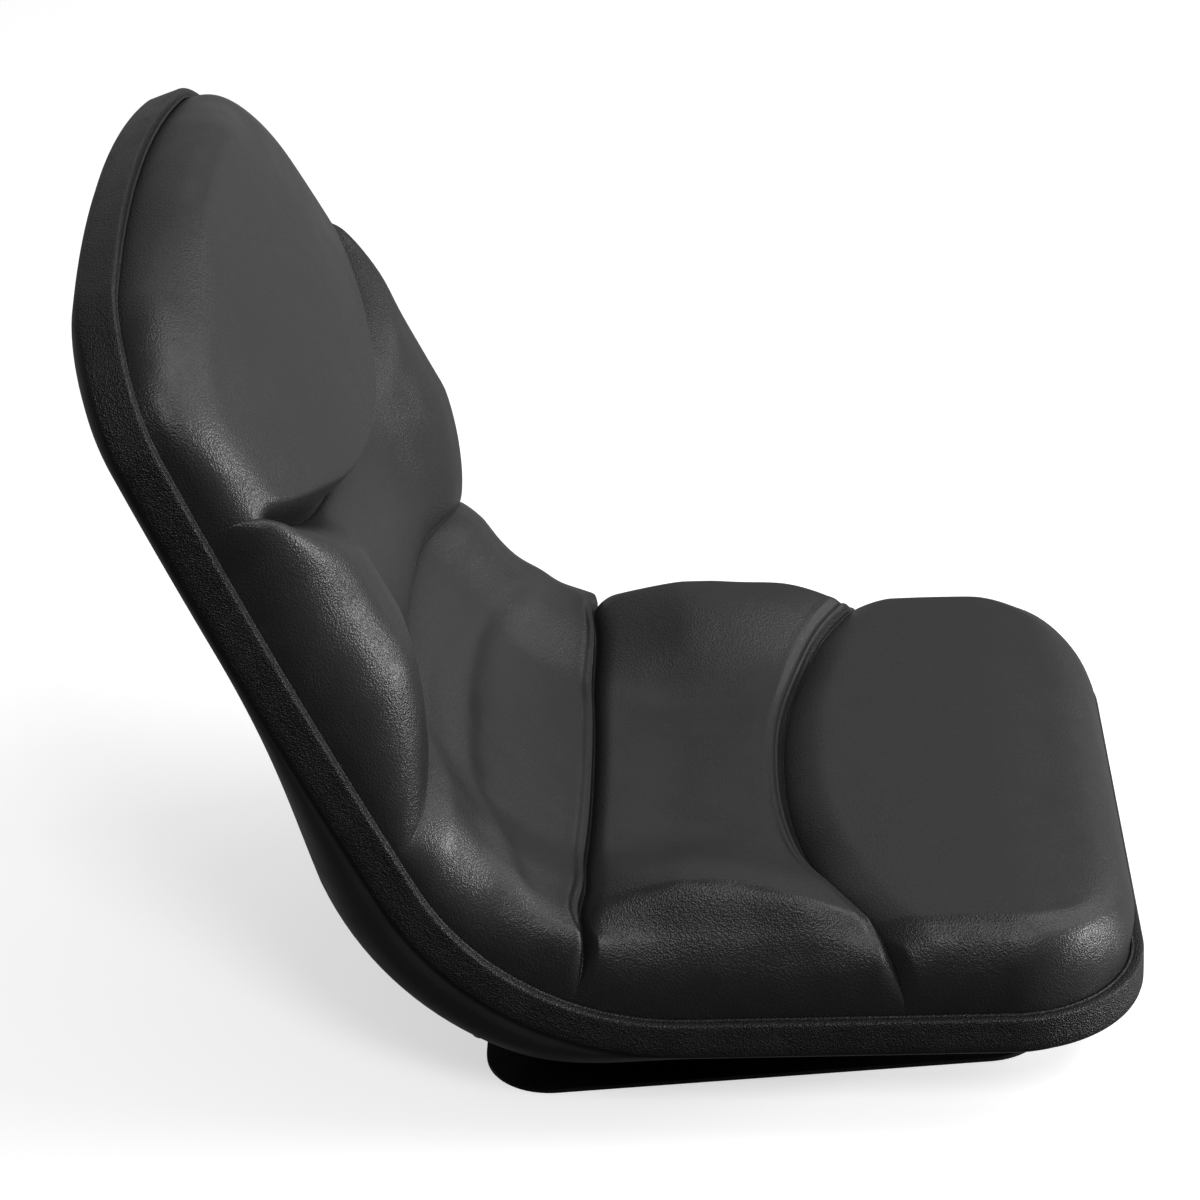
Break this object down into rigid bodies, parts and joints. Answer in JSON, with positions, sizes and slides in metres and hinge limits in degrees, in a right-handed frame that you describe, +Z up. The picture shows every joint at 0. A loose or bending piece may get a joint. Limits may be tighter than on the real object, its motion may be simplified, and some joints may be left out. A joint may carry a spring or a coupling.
{
  "type": "tractor seat",
  "caption": "One-piece moulded bucket seat with bolsters and a high back, in a plastic shell with edge trim, bolted to a flat steel mounting plate.",
  "frame": {"origin": "centre of the mounting plate's underside", "axes": "+X to the sitter's left, -Y the way the sitter faces, +Z up"},
  "size_m": [0.495, 0.6643, 0.5993],
  "materials": {
    "cushion_skin": "moulded vinyl skin over foam, satin, fine grain",
    "shell_plastic": "smooth dark grey moulded plastic",
    "trim_rubber": "grained black flexible edge trim",
    "black_paint": "satin black powder coat on steel sheet",
    "zinc_steel": "zinc-plated steel",
    "washer_black": "black steel cup washer"
  },
  "bodies": {
    "root": {"cushion": "cushion_skin", "shell": "shell_plastic", "edge_trim": "trim_rubber", "base_plate": "black_paint", "front_riser": "black_paint", "rear_screw_left": "zinc_steel", "rear_screw_right": "zinc_steel", "rear_tee_nut_left": "zinc_steel", "rear_tee_nut_right": "zinc_steel", "front_bolt_left": "zinc_steel", "front_bolt_right": "zinc_steel", "front_washer_left": "zinc_steel", "front_washer_right": "zinc_steel", "front_lock_washer_left": "zinc_steel", "front_lock_washer_right": "zinc_steel", "front_nut_left": "zinc_steel", "front_nut_right": "zinc_steel", "riser_screw_left": "zinc_steel", "riser_screw_right": "zinc_steel", "riser_nut_left": "zinc_steel", "riser_nut_right": "zinc_steel", "side_screw_left": "zinc_steel", "side_screw_right": "zinc_steel", "side_washer_left": "washer_black", "side_washer_right": "washer_black", "side_tee_nut_left": "zinc_steel", "side_tee_nut_right": "zinc_steel"}
  },
  "joints": []
}
